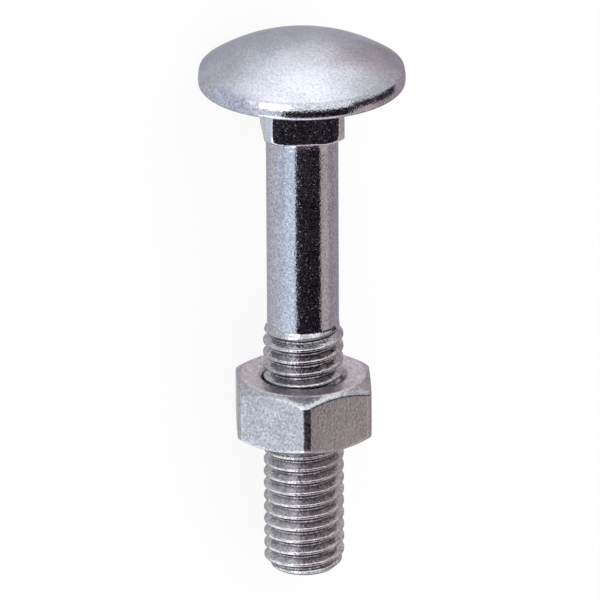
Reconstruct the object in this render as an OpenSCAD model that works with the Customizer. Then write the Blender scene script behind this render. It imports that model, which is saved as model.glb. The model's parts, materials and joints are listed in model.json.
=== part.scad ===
// Carriage bolt, also called a cup square bolt, with its hexagon nut run part of the way up the thread.
// Each piece is drawn along +Z, with the head's bearing face at z = 0, the dome below it and the end of
// the thread at z = length. lay_down() then puts both on their side, the way they come to rest, and
// leaves the middle of the bearing face at the origin.

/* [Length] */
// Length under the head, from the bearing face to the end of the thread
length = 50; // [42:1:120]
// Diameter of the plain shank, which is about the thread's pitch diameter
shank_d = 7; // [6.7:0.1:7.6]

/* [Head] */
// Diameter over the rim of the head
head_d = 20; // [18:0.5:24]
// Height of the dome above the bearing face
head_h = 4.9; // [4:0.1:6]
// Height at which the rim's upright side starts to round over into the dome
rim_t = 1.5; // [0.8:0.1:2]
// Radius of the rounding between the rim and the dome
rim_top_r = 0.45; // [0.1:0.05:0.8]
// Radius of the rounding along the lower edge of the rim
rim_low_r = 0.45; // [0.1:0.05:0.6]

/* [Square neck] */
// Width of the neck across its flats
neck_w = 7.7; // [7.4:0.1:8.6]
// Length of the neck from the bearing face
neck_len = 4.9; // [4:0.1:7]
// Diameter over the rounded corners of the neck
neck_corner_d = 10; // [9.2:0.1:10.4]
// Bevel round the corners at the lower end of the neck
neck_bevel = 0.5; // [0.1:0.1:1]
// Turn of the neck about the axis, away from the flats of the nut
neck_turn = 27; // [0:1:89]

/* [Thread] */
// Diameter over the crests
thread_d = 7.8; // [7.7:0.05:8]
// Distance from one crest to the next
pitch = 1.25; // [1:0.05:1.5]
// Length of the thread with its run-out, measured from the end of the bolt
thread_len = 25.7; // [22:0.1:34]
// Length over which the thread fades into the shank
run_out = 1.5; // [0.5:0.1:3]
// Turn of the thread about the axis
thread_turn = 55; // [0:5:355]
// Flat steps in one turn of the thread
thread_steps = 36; // [24:4:48]

/* [Nut] */
// Width of the nut across its flats
nut_w = 13; // [12:0.5:15]
// Height of the nut
nut_h = 6.2; // [5:0.1:8]
// Diameter of the round face that the corner bevels leave
nut_face_d = 11.9; // [11:0.1:12]
// Thread that stands out past the nut
stick_out = 13.9; // [5:0.1:15]
// Gap between the bolt's crests and the wall of the nut's bore, which stands for the nut's own thread
bore_gap = 0.06; // [0.03:0.01:0.1]
// Depth of the countersink at each end of the bore
sink_depth = 0.4; // [0.2:0.1:0.8]

/* [Hidden] */
$fn = 96;
zinc = [0.76, 0.79, 0.85];
grey_zinc = [0.68, 0.68, 0.71];
head_r = head_d / 2;
shank_r = shank_d / 2;
crest_r = thread_d / 2;

// The outline of the head is one arc for the dome, which runs without a corner into the rim's rounding
top_x = head_r - rim_top_r;
low_x = head_r - rim_low_r;
dome_rise = head_h - rim_t;
dome_r = (top_x * top_x + dome_rise * dome_rise - rim_top_r * rim_top_r) / (2 * (dome_rise - rim_top_r));
dome_angle = asin(top_x / (dome_r - rim_top_r));
dome_steps = 20;
rim_steps = 5;

// Proportions of a 60 degree thread, whose crest is an eighth of the pitch wide
crest_w = pitch / 8;
thread_depth = 0.6 * pitch;
flank_w = thread_depth * tan(30);
root_r = crest_r - thread_depth;
// The thread starts from a little inside the shank and ends in a bevel, a little thinner than its roots
start_r = shank_r - 0.08;
end_r = root_r - 0.1;
thread_z = length - thread_len;
bury = 0.5;
buried_z = thread_z - bury;
// A point nearer than this to an end of the thread lies on that end
snap = 0.01;

// The nut's face nearer the head, and the slope of its corner bevels and countersinks
nut_z = length - stick_out - nut_h;
nut_corner_r = nut_w / 2 / cos(30);
nut_face_r = nut_face_d / 2;
bevel_slope = tan(30);
bore_r = crest_r + bore_gap;
over = 0.5;

// The bolt rests on the rim of its head and on whichever comes down first, the middle of a flat of the
// nut or the end of the thread. tilt_onto(r, z) is the slope of the floor from the rim to a point that
// is r from the axis and z past the bearing face.
function tilt_onto(r, z) =
    let (across = low_x - r, along = rim_low_r + z)
    acos(-rim_low_r / norm([across, along])) - atan2(along, across);
flat_end_z = nut_z + nut_h - (nut_w / 2 - nut_face_r) * bevel_slope;
thread_end_z = length - (crest_r - end_r);
tilt = min(tilt_onto(nut_w / 2, flat_end_z), tilt_onto(crest_r, thread_end_z));

// Points along an arc after its first one. Angles are taken from the way the dome points.
function arc(centre, r, from, to, steps) = [
    for (step = [1:steps])
        let (a = from + (to - from) * step / steps)
        centre + r * [sin(a), -cos(a)]
];

// Height and radius of a point of the thread, once its ends are cut square, faded out and bevelled
function cut_off(z) = z < buried_z + snap ? buried_z : z > length - snap ? length : z;
function faded(r, z) = start_r + (r - start_r) * min(1, max(0, (z - thread_z) / run_out));
function bevelled(r, z) = min(r, end_r + length - z);

module head() {
    rotate_extrude()
        polygon(concat(
            [[0, 0], [0, -head_h]],
            arc([0, dome_r - head_h], dome_r, 0, dome_angle, dome_steps),
            arc([top_x, -rim_t], rim_top_r, dome_angle, 90, rim_steps),
            [[head_r, -rim_low_r]],
            arc([low_x, -rim_low_r], rim_low_r, 90, 180, rim_steps)
        ));
}

// A square bar whose corners are turned down, with a bevel round the end that bites into the wood
module neck() {
    corner_r = neck_corner_d / 2;
    rotate(neck_turn)
        intersection() {
            translate([-neck_w / 2, -neck_w / 2, -over]) cube([neck_w, neck_w, neck_len + over]);
            union() {
                translate([0, 0, -over]) cylinder(r = corner_r, h = neck_len - neck_bevel + over);
                translate([0, 0, neck_len - neck_bevel])
                    cylinder(r1 = corner_r, r2 = corner_r - neck_bevel, h = neck_bevel);
            }
        }
}

// A right-hand thread as one closed surface. Columns of points run along the axis, one for each step of
// a turn, with four points to a pitch at the edges of the root and the crest. Each column starts a step
// further along than the one before, so the last column meets the first one pitch on.
module thread() {
    edge_z = [0, flank_w, flank_w + crest_w, 2 * flank_w + crest_w];
    edge_r = [root_r, crest_r, crest_r, root_r];
    edges = len(edge_z);
    first_z = buried_z - 2 * pitch;
    rows = edges * (ceil((length - first_z) / pitch) + 2);
    points = [
        for (column = [0:thread_steps - 1], row = [0:rows - 1])
            let (
                turns = column / thread_steps + floor(row / edges),
                z = cut_off(first_z + pitch * turns + edge_z[row % edges]),
                r = bevelled(faded(edge_r[row % edges], z), z),
                a = 360 * column / thread_steps
            )
            [r * cos(a), r * sin(a), z]
    ];
    sides = [
        for (column = [0:thread_steps - 1])
            let (
                last = column == thread_steps - 1,
                here = column * rows,
                beside = last ? edges : here + rows
            )
            for (row = [0:rows - 2 - (last ? edges : 0)])
                each [
                    [here + row, here + row + 1, beside + row + 1],
                    [here + row, beside + row + 1, beside + row]
                ]
    ];
    ends = [
        [for (column = [0:thread_steps - 1]) column * rows],
        [for (column = [thread_steps - 1:-1:0]) column * rows + rows - 1]
    ];
    rotate(thread_turn) polyhedron(points, concat(sides, ends));
}

// Head, square neck, shank and thread are one forged and rolled piece
module bolt() {
    color(zinc) {
        head();
        neck();
        translate([0, 0, -over]) cylinder(r = shank_r, h = thread_z + over);
        thread();
    }
}

// The hexagon's corners are turned off at 30 degrees on both faces, and the bore is countersunk
module nut() {
    color(grey_zinc)
        translate([0, 0, nut_z])
            difference() {
                intersection() {
                    rotate(30) cylinder(r = nut_corner_r, h = nut_h, $fn = 6);
                    corner_bevel();
                    from_far_face() corner_bevel();
                }
                translate([0, 0, -over]) cylinder(r = bore_r, h = nut_h + 2 * over);
                countersink();
                from_far_face() countersink();
            }
}

module from_far_face() {
    translate([0, 0, nut_h]) mirror([0, 0, 1]) children();
}

// A flaring cone that leaves the round face and cuts off all corners outside it
module corner_bevel() {
    cylinder(r1 = nut_face_r, r2 = nut_face_r + nut_h / bevel_slope, h = nut_h);
}

// A 120 degree cone that is sunk into the face at z = 0 and runs out in the bore
module countersink() {
    mouth_r = bore_r + sink_depth;
    translate([0, 0, -over])
        cylinder(
            r1 = mouth_r + over / bevel_slope,
            r2 = bore_r - over,
            h = over + (mouth_r - bore_r + over) * bevel_slope
        );
}

// Turns +Z to +X and lets the thread's end down until the bolt lies on the floor
module lay_down() {
    rotate([0, 90 + tilt, 0]) children();
}

lay_down() bolt();
lay_down() nut();
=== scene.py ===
# %% [markdown]
# # A zinc plated carriage bolt with its nut
#
# A carriage bolt holds timber. Its domed head sits on the wood, the square neck under it bites in so
# that the bolt can't turn, and a hexagon nut pulls it tight from the other side. This one is steel with a
# thin bluish coat of bright zinc.
#
# The solids come from the CAD model, which fixes every size. This script puts finer surfaces in their
# place, gives them a finish, and sets up the studio. Both pieces are bodies of revolution that something
# interrupts: flats, corners and a thread. So each is built as a sheet of points in rings round the axis,
# which is how a lathe sees them, and not by cutting one solid out of another.

# %% Load the frame
import json
import math

import bmesh
import bpy
import numpy as np
from mathutils import Matrix, Vector


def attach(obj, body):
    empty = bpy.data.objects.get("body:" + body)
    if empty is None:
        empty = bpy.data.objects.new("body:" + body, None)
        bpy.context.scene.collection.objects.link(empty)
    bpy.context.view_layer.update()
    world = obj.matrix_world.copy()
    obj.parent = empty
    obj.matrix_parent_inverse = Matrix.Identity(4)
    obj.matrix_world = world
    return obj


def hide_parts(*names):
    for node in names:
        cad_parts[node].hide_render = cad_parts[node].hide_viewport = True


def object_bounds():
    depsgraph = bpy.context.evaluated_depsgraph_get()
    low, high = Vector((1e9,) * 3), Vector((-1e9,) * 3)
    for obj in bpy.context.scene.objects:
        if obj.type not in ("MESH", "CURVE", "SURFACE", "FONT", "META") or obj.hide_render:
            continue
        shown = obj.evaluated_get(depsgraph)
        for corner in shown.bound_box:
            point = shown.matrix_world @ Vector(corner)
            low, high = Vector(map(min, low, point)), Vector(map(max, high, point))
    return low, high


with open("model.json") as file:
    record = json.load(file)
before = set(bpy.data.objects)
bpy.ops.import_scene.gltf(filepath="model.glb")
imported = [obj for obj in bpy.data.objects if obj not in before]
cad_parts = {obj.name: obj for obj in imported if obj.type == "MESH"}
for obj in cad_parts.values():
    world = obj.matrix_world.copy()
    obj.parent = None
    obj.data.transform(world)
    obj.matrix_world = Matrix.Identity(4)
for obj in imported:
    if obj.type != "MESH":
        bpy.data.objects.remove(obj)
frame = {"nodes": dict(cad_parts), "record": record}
cad_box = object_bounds()
MM = 0.001
print("CAD box in mm:", [[round(c / MM, 2) for c in corner] for corner in cad_box])

# %% [markdown]
# ## The bolt's own axis
#
# The bolt lies on its side and leans a little, because it rests on the rim of its head and on a flat of
# the nut. Turned parts are easiest to draw upright, so everything below is drawn with the head's bearing
# face at height 0, the dome under it and the thread pointing up. One rotation then lays it down. The
# record gives the axis.

# %% Axis
mounts = {mount["name"]: mount for mount in frame["record"]["mounts"]}
axis = Vector(mounts["bearing_face"]["axis"]).normalized()
lean = math.atan2(-axis.z, axis.x)
lay_down = Matrix.Rotation(math.radians(90) + lean, 4, "Y")
print(f"the axis leans {math.degrees(lean):.2f} degrees")

# %% [markdown]
# ## Sizes from the CAD model
#
# The CAD model's own points give the main sizes, so they can't drift apart from it. Sizes that points
# don't show by themselves, such as the neck's, are repeated further on with the CAD model's values. The
# head is drawn a hair smaller than measured, so that no surface stands out of the CAD model's box.

# %% Main sizes
HAIR = 0.005


def upright(node):
    """A CAD node's points in millimetres, as distances from the axis and heights along it."""
    lying = np.array([v.co for v in frame["nodes"][node].data.vertices])
    points = lying @ np.array(lay_down.to_3x3()) / MM
    return np.hypot(points[:, 0], points[:, 1]), points[:, 2]


nut_z = upright("nut")[1]
NUT_FOOT, NUT_H = nut_z.min(), nut_z.max() - nut_z.min()
bolt_r, bolt_z = upright("bolt")
HEAD_R, HEAD_H, LENGTH = bolt_r.max() - 2 * HAIR, -bolt_z.min() - HAIR, bolt_z.max()
CREST_R = bolt_r[(bolt_z > NUT_FOOT) & (bolt_z < NUT_FOOT + NUT_H)].max()
print(f"head {2 * HEAD_R:.2f} x {HEAD_H:.2f}, length {LENGTH:.2f}, thread {2 * CREST_R:.2f} mm across crests")
print(f"nut from {NUT_FOOT:.2f} mm, {NUT_H:.2f} mm high")

# %% [markdown]
# ## Sheets round an axis
#
# A sheet is two tables, one of radii and one of heights, with a row for each ring and a column for each
# direction round the axis. Neighbours become four-sided faces. A thread needs one twist on that: its rings
# climb as they go round, so the last column doesn't meet the first one in the same row but one turn
# further on. That shift is `slip`.

# %% Sheets


def sheet(turns, radii, heights, slip=0):
    """Points in mm and faces of a sheet. turns holds the columns' directions in degrees."""
    radii, heights = np.broadcast_arrays(radii, heights)
    angle = np.radians(turns)[None, :]
    points = np.stack([radii * np.cos(angle), radii * np.sin(angle), heights], axis=-1).reshape(-1, 3)
    number = np.arange(len(points)).reshape(radii.shape)
    faces = []
    for column in range(len(turns)):
        here = number[:, column]
        beside = number[:, column + 1] if column + 1 < len(turns) else number[slip:, 0]
        rows = len(beside)
        faces.append(np.stack([here[: rows - 1], here[1:rows], beside[1:rows], beside[: rows - 1]], axis=1))
    return points, np.concatenate(faces)


def rings(rows, columns):
    """Turns a list of (radius, height) rows, each a number or one value per column, into two tables."""
    return tuple(np.array([np.broadcast_to(row[part], columns) for row in rows], float) for part in (0, 1))


tube = sheet(np.arange(0, 360, 45), *rings([(1, 0), (1, 1), (1, 2)], 8))
print("a tube of 3 rings and 8 columns has", len(tube[0]), "points and", len(tube[1]), "faces")

# %% [markdown]
# ## Welding sheets into a skin
#
# Sheets that end on the same ring are joined there: points that fall together are merged, and faces that
# have shrunk to nothing, as they do where a thread is cut off square, are taken out. What is left should
# be one closed skin, so the edges that have no second face are counted and printed.

# %% Welding
WELD = 0.001


def weld(name, sheets):
    """Joins sheets into one closed mesh object in metres, laid down on its side."""
    points = np.concatenate([s[0] for s in sheets])
    starts = np.cumsum([0] + [len(s[0]) for s in sheets])
    faces = np.concatenate([s[1] + start for s, start in zip(sheets, starts)])
    mesh = bpy.data.meshes.new(name)
    laid = points * MM @ np.array(lay_down.to_3x3()).T
    mesh.from_pydata(laid.tolist(), [], faces.tolist())
    bm = bmesh.new()
    bm.from_mesh(mesh)
    bmesh.ops.remove_doubles(bm, verts=bm.verts, dist=WELD * MM)
    bmesh.ops.dissolve_degenerate(bm, edges=bm.edges, dist=WELD * MM)
    bmesh.ops.recalc_face_normals(bm, faces=bm.faces)
    open_edges = sum(not edge.is_manifold for edge in bm.edges)
    bm.to_mesh(mesh)
    bm.free()
    mesh.shade_smooth()
    piece = bpy.data.objects.new(name, mesh)
    bpy.context.scene.collection.objects.link(piece)
    mesh.calc_loop_triangles()
    print(f"{name}: {len(mesh.loop_triangles)} triangles, {open_edges} open edges")
    return piece


print(f"welding merges points that are within {WELD} mm of each other")

# %% [markdown]
# ## Columns that meet the corners
#
# A ring is only as sharp as its columns allow. The square neck needs many columns at its four corners
# and few along its flats, so the columns crowd together where the outline bends. The same columns run
# on through the head, the shank and the thread, which keeps the whole bolt one clean mesh.

# %% Columns of the bolt
NECK_TURN = 27
# Degrees from a corner of the neck to each column, as far as the middle of a flat
NECK_STEPS = [0, 1, 2.2, 3.4, 4.4, 5.2, 6, 7, 8.4, 11, 14, 17.2, 20.5, 24, 27.5, 31, 34.5, 38, 41.5, 45]


def columns_round(corner, count, offsets):
    """Directions in degrees, crowded at count evenly spaced corners. offsets run from a corner outwards."""
    one = sorted({round(side * o, 4) for o in offsets for side in (-1, 1)})[1:]
    return np.array([corner + 360 / count * k + o for k in range(count) for o in one])


bolt_columns = columns_round(NECK_TURN + 45, 4, NECK_STEPS)
columns = len(bolt_columns)
print(columns, "columns round the bolt")

# %% [markdown]
# ## Outlines from arcs and lines
#
# A turned part is its outline, spun. An outline here is a list of rows, each with a radius and a height.
# Straight stretches and arcs add their rows without the first one, since the stretch before has it.

# %% Arcs and lines


def arc(centre_r, centre_z, radius, first, last, steps):
    """Rows along an arc, without its first point. Angle 0 looks to the dome and 90 away from the axis."""
    turn = np.radians(np.linspace(first, last, steps + 1)[1:])
    return [(centre_r + radius * math.sin(t), centre_z - radius * math.cos(t)) for t in turn]


def line(start, end, steps):
    """Rows along a straight line from start to end, without its first point."""
    return [
        tuple(start[part] + (end[part] - start[part]) * step / steps for part in (0, 1))
        for step in range(1, steps + 1)
    ]


print("a line from (0, 0) to (1, 2) in two steps:", line((0, 0), (1, 2), 2))

# %% [markdown]
# ## The domed head
#
# The head is upset from the bar in a die: one shallow arc, an upright rim with rounded edges, and a flat
# underside that bears on the wood. The metal bulges where the die's halves met, so the rim's side is a
# little barrel shaped. The arc's radius follows from the head's width and height, because it has to run
# into the rim's rounding without a corner. These roundings matter more than their size suggests: they are
# the edges that catch the light.

# %% Head
RIM_TOP, RIM_TOP_R, RIM_LOW_R = 1.5, 0.45, 0.45
WIDEST, BARREL_R = 0.75, 3.5
barrel_top = math.asin((RIM_TOP - WIDEST) / (BARREL_R - RIM_TOP_R))
barrel_low = math.asin((WIDEST - RIM_LOW_R) / (BARREL_R - RIM_LOW_R))
top_x = HEAD_R - BARREL_R + (BARREL_R - RIM_TOP_R) * math.cos(barrel_top)
rim_x = HEAD_R - BARREL_R + (BARREL_R - RIM_LOW_R) * math.cos(barrel_low)
dome_rise = HEAD_H - RIM_TOP
dome_r = (top_x**2 + dome_rise**2 - RIM_TOP_R**2) / (2 * (dome_rise - RIM_TOP_R))
dome_angle = math.degrees(math.asin(top_x / (dome_r - RIM_TOP_R)))
side_top, side_low = 90 - math.degrees(barrel_top), 90 + math.degrees(barrel_low)
head_rows = (
    [(0, -HEAD_H)]
    + arc(0, dome_r - HEAD_H, dome_r, 0, dome_angle, 24)
    + arc(top_x, -RIM_TOP, RIM_TOP_R, dome_angle, side_top, 7)
    + arc(HEAD_R - BARREL_R, -WIDEST, BARREL_R, side_top, side_low, 8)
    + arc(rim_x, -RIM_LOW_R, RIM_LOW_R, side_low, 180, 8)
)
print(f"dome radius {dome_r:.2f} mm, {dome_angle:.1f} degrees from its top to the rim")

# %% [markdown]
# ## Soft corners
#
# Many outlines are the smaller or the larger of two values: a square bar turned down to a circle, or a
# thread that is cut off by a cone. Real edges are never quite sharp, so these two helpers take the
# smaller or the larger one and round the corner between them.

# %% Soft minimum and maximum


def soft_min(a, b, blend):
    """The smaller of two values, with the corner between them rounded over the length blend."""
    share = np.clip(0.5 + 0.5 * (b - a) / blend, 0, 1)
    return b + (a - b) * share - blend * share * (1 - share)


def soft_max(a, b, blend):
    """The larger of two values, with a rounded corner between them."""
    return -soft_min(-a, -b, blend)


print("where 1 meets 1, a blend of 0.2 leaves", soft_min(1, 1, 0.2))

# %% [markdown]
# ## The square neck
#
# Punching a square neck into round stock never fills its corners, so they stay turned down, and every
# edge is a little soft. The outline is the smaller of two radii in each direction, the flat's and the
# corner circle's. The corners have a small bevel at the lower end, which lets the neck start into its
# hole, and small fillets join the neck to the head and to the shank.

# %% Outline of the neck
NECK_HALF, NECK_LEN, NECK_CORNER_R, NECK_BEVEL = 3.85, 4.9, 5.0, 0.5
CORNER_BLEND = 0.12
# How far down the bevel each of its rings lies
BEVEL_STEPS = (0.06, 0.14, 0.22, 0.3)
across_flat = np.radians((bolt_columns - NECK_TURN + 45) % 90 - 45)


def neck_outline(corner_r):
    """Radius of the neck in each column, for corners turned down to corner_r."""
    return soft_min(NECK_HALF / np.cos(across_flat), corner_r, CORNER_BLEND)


neck = neck_outline(NECK_CORNER_R)
neck_end = neck_outline(NECK_CORNER_R - NECK_BEVEL)
bevel_z = NECK_LEN - NECK_BEVEL
print(f"neck {2 * NECK_HALF} mm square, {2 * neck.max():.2f} mm over its corners")

# %% [markdown]
# ## Rings of the neck
#
# The rings run from the head's underside round the fillet, down the flats, over the bevel and the lower
# edge, and inwards to the shank. One ring close to the first fillet keeps the shading from spreading over
# the flat underside.

# %% Rings of the neck
SHANK_R = 3.5
UNDER_FILLET, NECK_EDGE, SHANK_FILLET = 0.1, 0.2, 0.09
GUARD = 0.05
under_r = neck + UNDER_FILLET
neck_rows = line((rim_x, 0), (under_r + GUARD, 0), 6) + [(under_r, 0)]
neck_rows += [
    (neck + UNDER_FILLET * (1 - math.sin(t)), UNDER_FILLET * (1 - math.cos(t)))
    for t in np.radians([15, 30, 45, 60, 75, 90])
]
neck_rows += line((neck, UNDER_FILLET), (neck, bevel_z), 6)
neck_rows += [(neck_outline(NECK_CORNER_R - down), bevel_z + down) for down in BEVEL_STEPS]
neck_rows += [
    (neck_end - NECK_EDGE * (1 - math.cos(t)), NECK_LEN - NECK_EDGE * (1 - math.sin(t)))
    for t in np.radians([0, 18, 36, 54, 72, 90])
]
foot_r = SHANK_R + SHANK_FILLET
neck_rows += line((neck_end - NECK_EDGE, NECK_LEN), (foot_r, NECK_LEN), 3)
neck_rows += [
    (foot_r - SHANK_FILLET * math.sin(t), NECK_LEN + SHANK_FILLET * (1 - math.cos(t)))
    for t in np.radians([30, 60, 90])
]
print(len(neck_rows), "rings in the neck")

# %% [markdown]
# ## The rolled thread
#
# A rolled thread isn't cut. Two dies press the roots into the shank and squeeze the crests up past it,
# which is why the thread is thicker than the shank. Its crests and roots are round. Seen from the side it
# is one repeating shape, so a single function gives the radius at any distance from a crest.

# %% Profile of the thread
PITCH, THREAD_LEN, RUN_OUT, THREAD_TURN = 1.25, 25.7, 1.5, 55
THREAD_DEPTH = 0.6 * PITCH
CREST_HALF = PITCH / 16
# The crests are this much wider than a sharp thread's, and their edges and the roots are rounded
CREST_SPREAD, CREST_BLEND, ROOT_BLEND = 0.03, 0.04, 0.12
FLANK_SLOPE = math.tan(math.radians(30))
root_r = CREST_R - THREAD_DEPTH


def thread_radius(off, crest_r=CREST_R, deepest=root_r):
    """Radius of a thread at a distance off from its crest's middle, measured along the axis."""
    flank = crest_r - (np.abs(off) - CREST_HALF - CREST_SPREAD) / FLANK_SLOPE
    return soft_max(soft_min(flank, crest_r, CREST_BLEND), deepest, ROOT_BLEND)


print(f"crest radius {thread_radius(0.0):.2f} mm, root radius {thread_radius(PITCH / 2):.2f} mm")

# %% [markdown]
# ## Rows that climb
#
# A modelling tool would sweep a V along a spiral and cut with it. Here the rows of the sheet climb with
# the thread instead, so that crest, flank and root each keep their own rows. Rows that would pass an end
# are held there, which cuts the thread off square.

# %% Climbing rows
# The CAD model's thread starts this far inside the shank
BURY = 0.5
thread_z = LENGTH - THREAD_LEN
# Height of a crest's middle in the direction 0, as the CAD model's thread has it
first_crest = thread_z - BURY + THREAD_DEPTH * FLANK_SLOPE + CREST_HALF - PITCH * THREAD_TURN / 360


def thread_rows(turns, offsets, start, end):
    """Heights of rows that climb with the thread between start and end, and their distance off its crest."""
    half = sorted({round(side * o, 5) for o in offsets for side in (-1, 1)})[1:]
    phase = (start - first_crest) // PITCH - 2
    count = int((end - start) / PITCH) + 5
    offs = np.array([o for _ in range(count) for o in half])
    crest = first_crest + PITCH * (phase + np.arange(count).repeat(len(half)))
    climb = (PITCH * (turns - turns[0]) / 360)[None, :]
    from_zero = PITCH * turns[0] / 360
    heights = np.clip(crest[:, None] + offs[:, None] + climb + from_zero, start, end)
    nearest = (heights - first_crest - PITCH * (turns / 360)[None, :] + PITCH / 2) % PITCH - PITCH / 2
    return heights, nearest, len(half)


TIP_EDGE, TIP_R = 0.12, root_r - 0.1
# Distances from a crest's middle at which every turn has its rows
BOLT_ROWS = [0, 0.06, 0.11, 0.17, 0.34, 0.47, 0.54, PITCH / 2]
tip_z = LENGTH - TIP_EDGE
bolt_heights, off_crest, rows_a_turn = thread_rows(bolt_columns, BOLT_ROWS, thread_z, tip_z)
print(f"{rows_a_turn} rows a turn, from {thread_z:.2f} mm to the end")

# %% [markdown]
# ## Run-out and bevel
#
# The thread fades in over about one turn, where the dies ran out, and a bevel at the end helps the nut
# start. In a sheet both are only changes of radius. The end's own ring is a little smaller than the bevel
# there, so that the edge comes out round.

# %% Radius of the thread
TIP_BLEND, TIP_TUCK = 0.15, 0.03
fade = np.clip((bolt_heights - thread_z) / RUN_OUT, 0, 1)
fade = fade * fade * (3 - 2 * fade)
thread_r = SHANK_R + (thread_radius(off_crest) - SHANK_R) * fade
thread_r = soft_min(thread_r, TIP_R + LENGTH - bolt_heights, TIP_BLEND)
tip_ring = TIP_R + TIP_EDGE - TIP_TUCK
thread_r[bolt_heights <= thread_z] = SHANK_R
thread_r[bolt_heights >= tip_z] = tip_ring
print(f"thread radius from {thread_r.min():.2f} to {thread_r.max():.2f} mm")

# %% [markdown]
# ## Shank and end
#
# The shank is plain bar. The end face is where the wire was sheared off, so it is slightly hollow: its
# rings go over the rounded edge and then down towards the middle. The three sheets share their end rings,
# so welding them gives the bolt as one closed piece, as it is in steel.

# %% The whole bolt
shank_rows = line((SHANK_R, NECK_LEN + SHANK_FILLET), (SHANK_R, thread_z), 16)
tip_rows = [
    (tip_ring, tip_z),
    (TIP_R + 0.04, LENGTH - 0.045),
    (TIP_R - 0.03, LENGTH - 0.008),
    (TIP_R - 0.12, LENGTH),
    (TIP_R - 0.4, LENGTH - 0.01),
    (TIP_R - 0.8, LENGTH - 0.05),
    (1.3, LENGTH - 0.11),
    (0, LENGTH - 0.14),
]
forged_bolt = weld(
    "forged_bolt",
    [
        sheet(bolt_columns, *rings(head_rows + neck_rows + shank_rows, columns)),
        sheet(bolt_columns, thread_r, bolt_heights, slip=rows_a_turn),
        sheet(bolt_columns, *rings(tip_rows, columns)),
    ],
)
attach(forged_bolt, "bolt")
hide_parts("bolt")

# %% [markdown]
# ## The nut's hexagon
#
# The nut is pressed in a die, which never fills its six upright corners, so they are rounded. Its columns
# crowd at those corners, as the bolt's did at the neck. In each column the hexagon has one radius: the
# flat's, or near a corner that of the rounding's circle.

# %% Hexagon
FLAT_R, CORNER_ROUND = 6.5, 1.0
CORNER_COLUMNS = 5
cos_30, tan_30 = math.cos(math.radians(30)), math.tan(math.radians(30))
# Degrees from a corner to where its rounding meets the flat
corner_end = 30 - math.degrees(math.atan((FLAT_R - CORNER_ROUND) * tan_30 / FLAT_R))
corner_steps = [corner_end * k / CORNER_COLUMNS for k in range(CORNER_COLUMNS + 1)]
nut_columns = columns_round(30, 6, corner_steps + [corner_end + 0.2, 2.6, 5, 8, 12, 16, 20, 25, 30])
off_corner = np.radians(nut_columns % 60 - 30)
round_centre = (FLAT_R - CORNER_ROUND) / cos_30
flat = FLAT_R / np.cos(math.radians(30) - np.abs(off_corner))
# Past the rounding's circle this would be less than 0, but there the flat is used
chord = np.maximum(CORNER_ROUND**2 - (round_centre * np.sin(off_corner)) ** 2, 0)
rounded = round_centre * np.cos(off_corner) + np.sqrt(chord)
hexagon = np.where(np.degrees(np.abs(off_corner)) <= corner_end + 1e-6, rounded, flat)
print(f"nut {2 * FLAT_R} mm across flats, {2 * hexagon.max():.2f} mm across corners")

# %% [markdown]
# ## Where the bevel meets a flat
#
# At both ends a cone takes off the hexagon's corners. Where that cone meets a flat it leaves the curved
# edge that everyone knows from nuts, lowest at the corners. The metal gives way a little there, so the
# flat bends gently first and then sharply into the cone. One function follows that bend.

# %% Edge of the bevel
GENTLE_R, GENTLE_TURN, EDGE_ROUND = 1.15, 13, 0.16


def edge_curve(turn):
    """How far the edge has left the flat, inwards and along the axis, once it has turned by that angle."""
    t, first = math.radians(turn), math.radians(min(turn, GENTLE_TURN))
    inwards = GENTLE_R * (1 - math.cos(first)) + EDGE_ROUND * (math.cos(first) - math.cos(t))
    along = GENTLE_R * math.sin(first) + EDGE_ROUND * (math.sin(t) - math.sin(first))
    return inwards, along


# The cone lies 30 degrees from the face, so the edge turns by this much from the flat
CONE_TURN = 60
edge_in, edge_along = edge_curve(CONE_TURN)
print(f"the edge takes {edge_in:.2f} mm of the width and {edge_along:.2f} mm of the height")

# %% [markdown]
# ## Outside of the nut
#
# In each column the outline is the same: face, cone, flat, cone, face, with a little arc at every edge.
# Only the hexagon's radius changes from column to column, and the curved edge comes out by itself. The
# cone bulges very slightly, as a pressed bevel does. The upper half mirrors the lower one.

# %% Outside of the nut
FACE_R, MOUTH_R, CONE_BULGE_R = 5.95, CREST_R + 0.46, 4.0
NUT_GUARD, CONE_RINGS = 0.04, 7
# Angles from the flat at which the edge has a ring
EDGE_TURNS = (48, 36, 24, 13, 9, 4, 0)
# How far the rounding between face and cone reaches along the face
bend = EDGE_ROUND * math.tan(math.radians(15))
cone_end = (hexagon - edge_in, (hexagon - edge_in - FACE_R) * tan_30)
half_rows = [(MOUTH_R, 0.0)] + line((MOUTH_R, 0), (FACE_R - bend - NUT_GUARD, 0), 5) + [(FACE_R - bend, 0)]
half_rows += arc(FACE_R - bend, EDGE_ROUND, EDGE_ROUND, 0, 30, 3)
cone_start = half_rows[-1]
cone_reach = np.hypot(cone_end[0] - cone_start[0], cone_end[1] - cone_start[1])
for step, (cone_r, cone_z) in enumerate(line(cone_start, cone_end, CONE_RINGS), 1):
    bulge = cone_reach**2 / (2 * CONE_BULGE_R) * (step / CONE_RINGS) * (1 - step / CONE_RINGS)
    half_rows.append((cone_r + bulge / 2, cone_z - bulge * cos_30))
flat_start = cone_end[1] + edge_along
for inwards, along in map(edge_curve, EDGE_TURNS):
    half_rows.append((hexagon - inwards, flat_start - along))
half_rows += line(half_rows[-1], (hexagon, NUT_H / 2), 5)
upper_rows = [(r, NUT_H - z) for r, z in half_rows[-2::-1]]
outer_r, outer_z = rings(half_rows + upper_rows, len(nut_columns))
print(len(half_rows + upper_rows), "rings on the outside of the nut")

# %% [markdown]
# ## The nut's own thread
#
# A tap cuts the nut's thread, and the bolt's has to run in it, so it is the same spiral a hair wider: the
# bolt's profile moved outwards, and flat where the drilled hole left the tips. At both ends a countersink
# takes the thread away. It is one more case of the larger of two radii.

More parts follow.
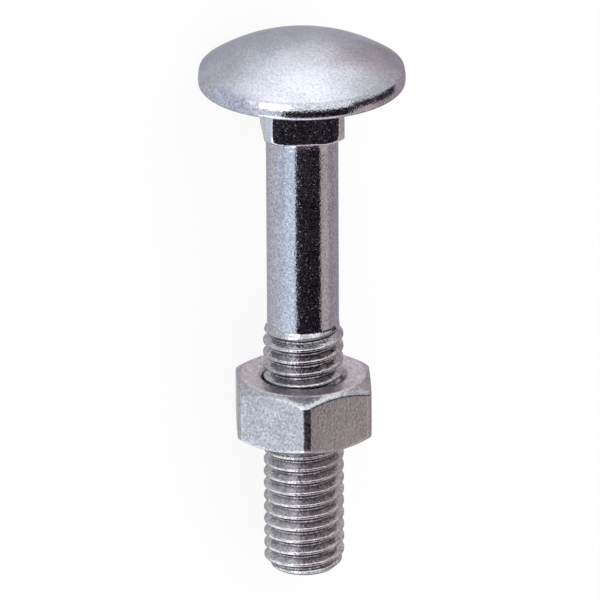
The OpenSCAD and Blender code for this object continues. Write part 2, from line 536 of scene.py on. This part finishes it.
# %% Inside of the nut
NUT_GAP, DRILLED_R, SINK_BLEND = 0.06, 3.36, 0.04
# Each millimetre down a countersink brings its wall this much closer to the axis
SINK_SLOPE = 0.75 / tan_30
NUT_ROWS = [0, 0.08, 0.16, 0.3, 0.44, PITCH / 2]
nut_top = NUT_FOOT + NUT_H
inner_z, off_inner, nut_rows_a_turn = thread_rows(nut_columns, NUT_ROWS, NUT_FOOT, nut_top)
from_end = np.minimum(inner_z - NUT_FOOT, nut_top - inner_z)
tapped = thread_radius(off_inner, CREST_R + NUT_GAP, DRILLED_R)
inner_r = soft_max(tapped, MOUTH_R - from_end * SINK_SLOPE, SINK_BLEND)
inner_r[from_end <= 0] = MOUTH_R
hex_nut = weld(
    "hex_nut",
    [
        sheet(nut_columns, outer_r, outer_z + NUT_FOOT),
        sheet(nut_columns, inner_r, inner_z, slip=nut_rows_a_turn),
    ],
)
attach(hex_nut, "nut")
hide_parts("nut")

# %% [markdown]
# ## Shader maths as sums
#
# A finish is a sum of patterns, and a sum is easier to read as Python than as a net of nodes. A Wire wraps
# one socket that carries a number, and adding, subtracting or multiplying wires adds the Math node.
# Colours are never added that way, because a Math node turns a colour grey: they go through Mix. Every
# node comes from Finish.node, which sets the node's settings first and then fills its sockets.

# %% Wires and finishes


class Wire:
    """A socket that can be calculated with."""

    def __init__(self, finish, socket):
        self.finish, self.socket = finish, socket

    def _math(self, operation, first, second):
        return self.finish.node("Math", {"operation": operation}, {0: first, 1: second})

    def __add__(self, other):
        return self._math("ADD", self, other)

    def __sub__(self, other):
        return self._math("SUBTRACT", self, other)

    def __rsub__(self, other):
        return self._math("SUBTRACT", other, self)

    def __mul__(self, other):
        return self._math("MULTIPLY", self, other)

    __radd__, __rmul__ = __add__, __mul__


class Finish:
    """A material that is being made."""

    def __init__(self, name):
        self.material = bpy.data.materials.new(name)
        self.material.use_nodes = True
        self.tree = self.material.node_tree
        self.shader = self.tree.nodes["Principled BSDF"]

    def node(self, kind, settings=None, sockets=None, output=0):
        """Adds a node of that type. settings are set first, then values or wires go to its sockets."""
        made = self.tree.nodes.new("ShaderNode" + kind)
        for key, value in (settings or {}).items():
            setattr(made, key, value)
        for key, value in (sockets or {}).items():
            self.feed(made.inputs[key], value)
        return Wire(self, made.outputs[output])

    def feed(self, socket, value):
        """Puts a wire, a number or a colour into a socket."""
        if isinstance(value, Wire):
            self.tree.links.new(value.socket, socket)
        elif socket.type == "RGBA":
            socket.default_value = (*value, 1)
        else:
            socket.default_value = value

    def finished(self, **sockets):
        """Feeds the shader, and gives the material."""
        for name, value in sockets.items():
            self.feed(self.shader.inputs[name.replace("_", " ")], value)
        return self.material


zinc = Finish("bright_zinc")
print(zinc.material.name, "starts with", len(zinc.tree.nodes), "nodes")

# %% [markdown]
# ## Patterns that follow the bolt
#
# The solid patterns of Blender live in space, so they need no unwrapping, but they have to know where the
# head and the thread are. Turning the point back upright gives them the same heights that the shapes were
# drawn with. `ramp` then turns any value into a soft mask between 0 and 1.

# %% Patterns, ramps and mixes


def upright_place(finish):
    """Where a point is before the bolt is laid down."""
    lying = finish.node("TexCoord", output="Object")
    back = -math.radians(90) - lean
    return finish.node("VectorRotate", {"rotation_type": "Y_AXIS"}, {"Vector": lying, "Angle": back})


def noise(place, scale, detail=2.0, rough=0.5):
    """A random pattern between 0 and 1. scale counts its waves in a metre."""
    sockets = {"Vector": place, "Scale": scale, "Detail": detail, "Roughness": rough}
    return place.finish.node("TexNoise", {}, sockets)


def ramp(value, low, high):
    """0 below low and 1 above high, with a soft ramp between. low may be the larger one."""
    sockets = {"Value": value, "From Min": low, "From Max": high}
    return value.finish.node("MapRange", {"interpolation_type": "SMOOTHSTEP"}, sockets)


def mix(finish, share, first, second):
    """A colour between two colours."""
    return finish.node("Mix", {"data_type": "RGBA"}, {0: share, 6: first, 7: second}, output=2)


place = upright_place(zinc)
print("with its upright place it has", len(zinc.tree.nodes), "nodes")

# %% [markdown]
# ## Bright zinc: where
#
# Zinc plate is a crystalline coat a few thousandths of a millimetre thick. It is a grey-blue metal, more
# satin than chrome, and it isn't the same all over. The dome is satin, the shank is bright, and the thread
# is rougher from rolling. Painted shade darkens the thread's roots and the thread up to the nut, and a
# painted highlight lightens the neck's corners. Each of these places becomes a mask, from the height
# along the bolt and the distance from its axis.

# %% Places on the bolt
across, side, height = [zinc.node("SeparateXYZ", {}, {0: place}, output=part) for part in range(3)]
radius = zinc.node("Math", {"operation": "SQRT"}, {0: across * across + side * side})
on_dome = ramp(height, -RIM_TOP * MM, (-RIM_TOP - 0.4) * MM)
on_thread = ramp(height, (thread_z - 0.4) * MM, (thread_z + 1.0) * MM)
# The tail is the thread that stands out past the nut
on_tail = ramp(height, (NUT_FOOT + 1) * MM, (NUT_FOOT + NUT_H) * MM)
in_root = ramp(radius, (root_r + 0.22) * MM, (root_r + 0.04) * MM) * on_thread
on_neck = ramp(height, 0.1 * MM, 0.4 * MM) * ramp(height, (NECK_LEN + 0.3) * MM, NECK_LEN * MM)
# The neck's corners, where the colour is lightened as a painted highlight
neck_corner_highlight = ramp(radius, (NECK_CORNER_R - 0.45) * MM, (NECK_CORNER_R - 0.2) * MM) * on_neck
print("bolt finish so far:", len(zinc.tree.nodes), "nodes")

# %% [markdown]
# ## Bright zinc: patterns
#
# Three things make plating look real: a fine grain that breaks up reflections, slow cloudy changes of tone
# and gloss, and small pits and bright flecks. One noise of its own size stands for each. The finest is
# used twice: its highest spots are flecks and its lowest are pits.

# %% Patterns of the bolt
grain = noise(place, 4300, 1.5, 0.6)
fine = noise(place, 5600, 0)
cloud = noise(place, 420, 3, 0.55)
haze = noise(place, 120, 2)
scuff = noise(place, 1500, 2, 0.6)
fleck = ramp(fine, 0.64, 0.84)
pit = ramp(fine, 0.38, 0.26)
speck = ramp(grain, 0.3, 0.7)
scuffed = ramp(scuff, 0.35, 0.65)
print("bolt finish so far:", len(zinc.tree.nodes), "nodes")

# %% [markdown]
# ## Bright zinc: colour
#
# A metal's base colour is the tint of its reflections. The colour starts as cloudy blue-grey and is mixed
# with one thing after another: the warmer thread, which is darker up to the nut as painted shade, painted
# shade in its roots, grain, flecks, pits and a painted highlight on the neck's corners. The dome's grain
# is the faintest.

# %% Colour of the bolt
tone = mix(zinc, ramp(cloud, 0.3, 0.7), (0.345, 0.36, 0.42), (0.41, 0.425, 0.49))
tone = mix(zinc, ramp(haze, 0.45, 0.75) * 0.35, tone, (0.42, 0.39, 0.42))
# Rolled tone with painted shade: the thread from the shank to the nut is darker than its tail past the nut
rolled_and_shaded = mix(zinc, scuffed, (0.27, 0.26, 0.27), (0.42, 0.41, 0.415))
rolled_tail = mix(zinc, scuffed, (0.32, 0.31, 0.32), (0.50, 0.49, 0.495))
tone = mix(zinc, on_thread * 0.9, tone, mix(zinc, on_tail, rolled_and_shaded, rolled_tail))
# Painted shade: the thread's roots are darkened almost to black
tone = mix(zinc, in_root * 0.7, tone, (0.06, 0.05, 0.055))
dark_grain = mix(zinc, 0.20 - on_dome * 0.10, tone, (0, 0, 0))
light_grain = mix(zinc, 0.28 - on_dome * 0.14, tone, (0.80, 0.80, 0.84))
tone = mix(zinc, speck, dark_grain, light_grain)
tone = mix(zinc, fleck * (0.4 - on_dome * 0.3), tone, (0.88, 0.86, 0.85))
tone = mix(zinc, pit * 0.35, tone, (0.16, 0.15, 0.16))
# Painted highlight: the neck's corners are lightened
tone = mix(zinc, neck_corner_highlight * 0.3, tone, (0.80, 0.80, 0.82))
print("bolt finish so far:", len(zinc.tree.nodes), "nodes")

# %% [markdown]
# ## Bright zinc: gloss and relief
#
# Roughness decides how blurred a reflection is. It is lowest on the shank and higher on the dome, on the
# tail and on flecks. The bump gives the coat its orange peel. It is far finer than any edge, so it stays
# in the material and the shapes stay smooth.

# %% Gloss and relief of the bolt
ZINC_EDGE_TINT = (0.62, 0.61, 0.65)
gloss = 0.15 + on_dome * 0.18 + on_tail * 0.10 + in_root * 0.06 + fleck * (0.13 - on_dome * 0.09)
gloss = gloss + (cloud - 0.5) * 0.06 + (speck - 0.5) * 0.05
relief = grain * (1.1 + on_thread * 0.9) + fine * 0.6 + haze * 1.5 + scuff * (on_thread + on_tail) * 2.5
bump = zinc.node("Bump", {}, {"Strength": 1.0, "Distance": 0.012 * MM, "Height": relief})
bright_zinc = zinc.finished(
    Base_Color=tone, Metallic=1.0, Roughness=gloss, Specular_Tint=ZINC_EDGE_TINT, Normal=bump
)
forged_bolt.data.materials.append(bright_zinc)
print("bolt finish:", len(zinc.tree.nodes), "nodes")

# %% [markdown]
# ## The nut's plate
#
# The nut was pressed and tapped and then plated in a drum with many others, so its coat is duller and
# more even than the bolt's. Its two faces are lighter, warmer and rougher than its flats. The finish is
# made as the bolt's was, with one mask, for the faces.

# %% Finish of the nut
dull = Finish("nut_zinc_plate")
nut_place = upright_place(dull)
nut_grain = noise(nut_place, 3800, 1.5, 0.6)
nut_fine = noise(nut_place, 4300, 0)
nut_cloud = noise(nut_place, 500, 3, 0.55)
nut_speck = ramp(nut_grain, 0.3, 0.7)
nut_height = dull.node("SeparateXYZ", {}, {0: nut_place}, output=2)
off_middle = dull.node("Math", {"operation": "ABSOLUTE"}, {0: nut_height - (NUT_FOOT + NUT_H / 2) * MM})
on_face = ramp(off_middle, (NUT_H / 2 - 0.12) * MM, (NUT_H / 2 - 0.04) * MM)
nut_tone = mix(dull, ramp(nut_cloud, 0.3, 0.7), (0.33, 0.34, 0.37), (0.40, 0.41, 0.44))
nut_tone = mix(dull, on_face, nut_tone, (0.57, 0.52, 0.55))
nut_dark = mix(dull, 0.12 + on_face * 0.12, nut_tone, (0, 0, 0))
nut_light = mix(dull, 0.14 + on_face * 0.12, nut_tone, (0.85, 0.84, 0.86))
nut_tone = mix(dull, nut_speck, nut_dark, nut_light)
nut_tone = mix(dull, ramp(nut_fine, 0.62, 0.74) * 0.25, nut_tone, (0.80, 0.78, 0.78))
nut_tone = mix(dull, ramp(nut_fine, 0.38, 0.26) * 0.35, nut_tone, (0.13, 0.12, 0.12))
nut_gloss = 0.22 + on_face * 0.14 + (nut_cloud - 0.5) * 0.12 + (nut_speck - 0.5) * 0.08
nut_relief = nut_grain + nut_fine * 0.5 + nut_cloud * 1.2
nut_bump = dull.node("Bump", {}, {"Strength": 1.0, "Distance": 0.010 * MM, "Height": nut_relief})
nut_zinc_plate = dull.finished(
    Base_Color=nut_tone, Metallic=1.0, Roughness=nut_gloss, Specular_Tint=ZINC_EDGE_TINT, Normal=nut_bump
)
hex_nut.data.materials.append(nut_zinc_plate)
print("nut finish:", len(dull.tree.nodes), "nodes")

# %% [markdown]
# ## Directions, as the bolt sees them
#
# The photo was taken with the bolt standing up, from a little above its head. This bolt lies as it would
# on a table, so the camera moves instead: it looks down on it along the same line, seen from the bolt.
# Every direction in the studio is counted in that way, as an azimuth to the right of the camera and a rise
# towards the head's side.

# %% Directions
# Turn of the camera round the bolt, from straight above towards -Y
SIGHT_TURN = 31.75
up_side = (lay_down.to_3x3() @ Vector((-1, 0, 0))).normalized()
head_way = (lay_down.to_3x3() @ Vector((0, 0, -1))).normalized()
sight_turn = math.radians(SIGHT_TURN)
front = up_side * math.cos(sight_turn) + Vector((0, -1, 0)) * math.sin(sight_turn)
right = head_way.cross(front)


def look(azimuth, rise):
    """Unit vector away from the bolt, for an azimuth and a rise in degrees."""
    a, e = math.radians(azimuth), math.radians(rise)
    return (front * math.cos(a) + right * math.sin(a)) * math.cos(e) + head_way * math.sin(e)


print("towards the head:", [round(c, 3) for c in head_way], "in front:", [round(c, 3) for c in front])

# %% [markdown]
# ## The camera
#
# Its rise, its distance and its focal length were found by fitting the outlines in the photo, above all
# the head's, which is a circle seen at a slant. The bolt leans a little in the photo and isn't quite in
# its middle, so the camera is rolled and shifted by as much.

# %% Camera
SIGHT_RISE, SIGHT_FAR, SIGHT_ROLL = 22.0, 1194.7, 0.31
# The focal length, half of the picture's width and the shift of its middle, in pixels of the photo
SIGHT_LENS, PICTURE_HALF, SHIFT_RIGHT, SHIFT_UP = 12356, 300, 2.95, 3.115
# Distance from the bearing face to the point at which the camera and the cards are aimed
AIM_DOWN = 22
to_camera = look(0, SIGHT_RISE)
level_up = (head_way - to_camera * head_way.dot(to_camera)).normalized()
level_right = level_up.cross(to_camera)
roll = math.radians(SIGHT_ROLL)
picture_up = level_up * math.cos(roll) + level_right * math.sin(roll)
picture_right = picture_up.cross(to_camera)
pixel = SIGHT_FAR / SIGHT_LENS
middle = head_way * -AIM_DOWN * MM
aim = middle - (picture_right * SHIFT_RIGHT + picture_up * SHIFT_UP) * pixel * MM
camera = bpy.data.objects.new("camera", bpy.data.cameras.new("camera"))
bpy.context.scene.collection.objects.link(camera)
bpy.context.scene.camera = camera
camera.data.lens = camera.data.sensor_width / 2 * SIGHT_LENS / PICTURE_HALF
camera.data.clip_start, camera.data.clip_end = 0.05, 50
facing = Matrix((picture_right, picture_up, to_camera)).transposed().to_4x4()
camera.matrix_world = Matrix.Translation(aim + to_camera * SIGHT_FAR * MM) @ facing
print("camera", [round(c, 4) for c in camera.matrix_world.translation], "lens", round(camera.data.lens, 1))

# %% [markdown]
# ## The table
#
# The bolt lies on white paper that has no edge in the picture. A matt white alone would turn grey wherever
# the light falls off. So for the camera and for reflections most of it is plain white, and the rest is
# matt, which keeps a faint shadow under the bolt.

# %% Table
FLOOR_Z = cad_box[0].z
TABLE_HALF = 4
PLAIN_SHARE = 0.88


def plain(name, colour, strength=1.0):
    """A material that shines with one colour and reflects nothing."""
    return Finish(name).finished(
        Base_Color=(0, 0, 0), Emission_Color=colour, Emission_Strength=strength, Specular_IOR_Level=0
    )


def white_table():
    """Matt white, most of it plain white for what the camera and reflections see."""
    finish = Finish("white_table")
    finish.finished(Base_Color=(0.98, 0.98, 0.98), Roughness=1.0, Specular_IOR_Level=0)
    seen = finish.node("LightPath", output="Is Camera Ray") + finish.node("LightPath", output="Is Glossy Ray")
    white = finish.node("Emission", {}, {"Color": (1, 1, 1), "Strength": 1.0})
    matt = Wire(finish, finish.shader.outputs[0])
    mixed = finish.node("MixShader", {}, {0: seen * PLAIN_SHARE, 1: matt, 2: white})
    finish.feed(finish.tree.nodes["Material Output"].inputs["Surface"], mixed)
    return finish.material


floor_mesh = bpy.data.meshes.new("floor")
corners = [(x * TABLE_HALF, y * TABLE_HALF, FLOOR_Z) for x, y in ((-1, -1), (1, -1), (1, 1), (-1, 1))]
floor_mesh.from_pydata(corners, [], [(0, 1, 2, 3)])
floor = bpy.data.objects.new("floor", floor_mesh)
bpy.context.scene.collection.objects.link(floor)
floor_mesh.materials.append(white_table())
print(f"table {FLOOR_Z / MM:.2f} mm from the origin's height")

# %% [markdown]
# ## The room
#
# The room is white too and lights the bolt from everywhere, so that no part of it falls into black by
# itself. The Standard view keeps white at white.

# %% Room
bpy.context.scene.view_settings.view_transform = "Standard"
world = bpy.data.worlds.new("white_room")
bpy.context.scene.world = world
world.use_nodes = True
world.node_tree.nodes["Background"].inputs["Color"].default_value = (1, 1, 1, 1)
world.node_tree.nodes["Background"].inputs["Strength"].default_value = 1.0
print("room:", world.name)

# %% [markdown]
# ## Making cards
#
# Metal has almost no colour of its own: it shows the room. A photographer lights a plated bolt by bending
# white, grey and black cards round it, out of the picture, and that is done here. A card is a patch of a
# sphere round the bolt, or a sheet of paper on the table. All but two are seen by reflections only, so
# they neither shade the table nor show in the picture.

# %% Cards and papers
CARD_FAR, CARD_STEPS = 0.3, 24
PAPER_LIFT = 0.3


def show_card(name, mesh, colour, strength, lights_room):
    """Puts a card in the room that only reflections see, and with lights_room the floor too."""
    made = bpy.data.objects.new(name, mesh)
    bpy.context.scene.collection.objects.link(made)
    mesh.materials.append(plain(name, colour, strength))
    made.visible_camera = made.visible_shadow = made.visible_transmission = False
    made.visible_diffuse = lights_room


def card(name, azimuths, rises, colour, strength, lights_room=False):
    """A bent card round the bolt between two azimuths and two rises, as look() counts them."""
    steps = range(CARD_STEPS)
    row = CARD_STEPS + 1
    points = [
        look(azimuth, rise) * CARD_FAR + middle
        for azimuth in np.linspace(*azimuths, row)
        for rise in np.linspace(*rises, row)
    ]
    faces = [(k, k + 1, k + row + 1, k + row) for k in (i * row + j for i in steps for j in steps)]
    mesh = bpy.data.meshes.new(name)
    mesh.from_pydata(points, [], faces)
    show_card(name, mesh, colour, strength, lights_room)


def floor_card(name, x_span, y_span, colour):
    """A paper that lies on the table beside the bolt, with its sides in millimetres."""
    (x0, x1), (y0, y1) = x_span, y_span
    paper_z = FLOOR_Z + PAPER_LIFT * MM
    paper_corners = [(x * MM, y * MM, paper_z) for x, y in ((x0, y0), (x1, y0), (x1, y1), (x0, y1))]
    mesh = bpy.data.meshes.new(name)
    mesh.from_pydata(paper_corners, [], [(0, 1, 2, 3)])
    show_card(name, mesh, colour, 1.0, False)


print(f"cards stand {CARD_FAR / MM:.0f} mm from the bolt")

# %% [markdown]
# ## Cards in front and below
#
# A flat or a shank seen from the front mirrors what is in front and below, as the camera looks down on it.
# The black card makes the dark band down the shank and the neck's dark flat. Left of it a bluish card
# lights the shank and the nut's left flat. Right of it rose and grey cards light the nut's right flat and
# the shank's right side. The cards lower down show in the thread.

# %% Lower cards
BLACK, DARK, WHITE = (0.012, 0.008, 0.012), (0.05, 0.042, 0.046), (1.0, 1.0, 1.0)
card("black_card", (-22, 60), (-34, -4), BLACK, 1.0)
card("black_end", (-34, -22), (-13, -4), (0.022, 0.014, 0.020), 1.0)
card("dark_card", (60, 122), (-15, 1), DARK, 1.0)
card("dark_strip", (54, 72), (-4, 3), DARK, 1.0)
card("blue_card", (-59, -22), (-32, -4), (0.84, 0.91, 1.0), 1.42)
card("rose_card", (60, 90), (-60, -15), (1.0, 0.83, 0.79), 0.92)
card("grey_card", (90, 122), (-60, -15), (1.0, 0.84, 0.84), 0.66)
card("white_card", (-59, -22), (-60, -32), (1.0, 1.0, 0.98), 4.0)
card("pink_card", (-22, 60), (-56, -34), (1.0, 0.77, 0.87), 1.05)
card("low_box", (-60, 70), (-86, -60), WHITE, 2.2)

# %% [markdown]
# ## Cards above
#
# The dome mirrors the upper half of the room. Its bright middle is a soft box past the head, and the cards
# round that shade it off towards the rim. The brightest one is small and low on the left: it makes the
# white edge on the rim's left shoulder. The two rings round the top light the table as well.

# %% Upper cards
card("side_box", (-62, -44), (-4, 58), WHITE, 1.6)
card("left_low", (-44, -14), (-4, 18), WHITE, 5.0)
card("left_box", (-44, -14), (18, 58), WHITE, 2.1)
card("front_box", (-14, 54), (-4, 58), WHITE, 1.75)
card("wide_box", (-180, 180), (58, 70), WHITE, 1.7, lights_room=True)
card("soft_box", (-180, 180), (70, 90), WHITE, 2.4, lights_room=True)

# %% [markdown]
# ## Papers on the table
#
# Seen from the bolt the table fills both sides, so papers on it colour the outer parts of the shank, the
# dome and the nut: bluish on one side, rose grey on the other, and brighter past the head and beside the
# thread's end. They lie side by side and don't overlap.

# %% Papers
floor_card("blue_paper", (-50, 42), (-200, -17), (1.0, 1.05, 1.16))
floor_card("tail_paper", (42, 120), (-60, -7), (1.9, 1.9, 1.9))
floor_card("far_blue_paper", (42, 120), (-200, -60), (1.0, 1.05, 1.16))
floor_card("grey_paper", (-50, 120), (17, 200), (0.76, 0.66, 0.68))
floor_card("near_paper", (-50, -18), (-17, 17), (1.75, 1.75, 1.75))
floor_card("far_paper", (-300, -50), (-90, 75), (2.5, 2.5, 2.5))
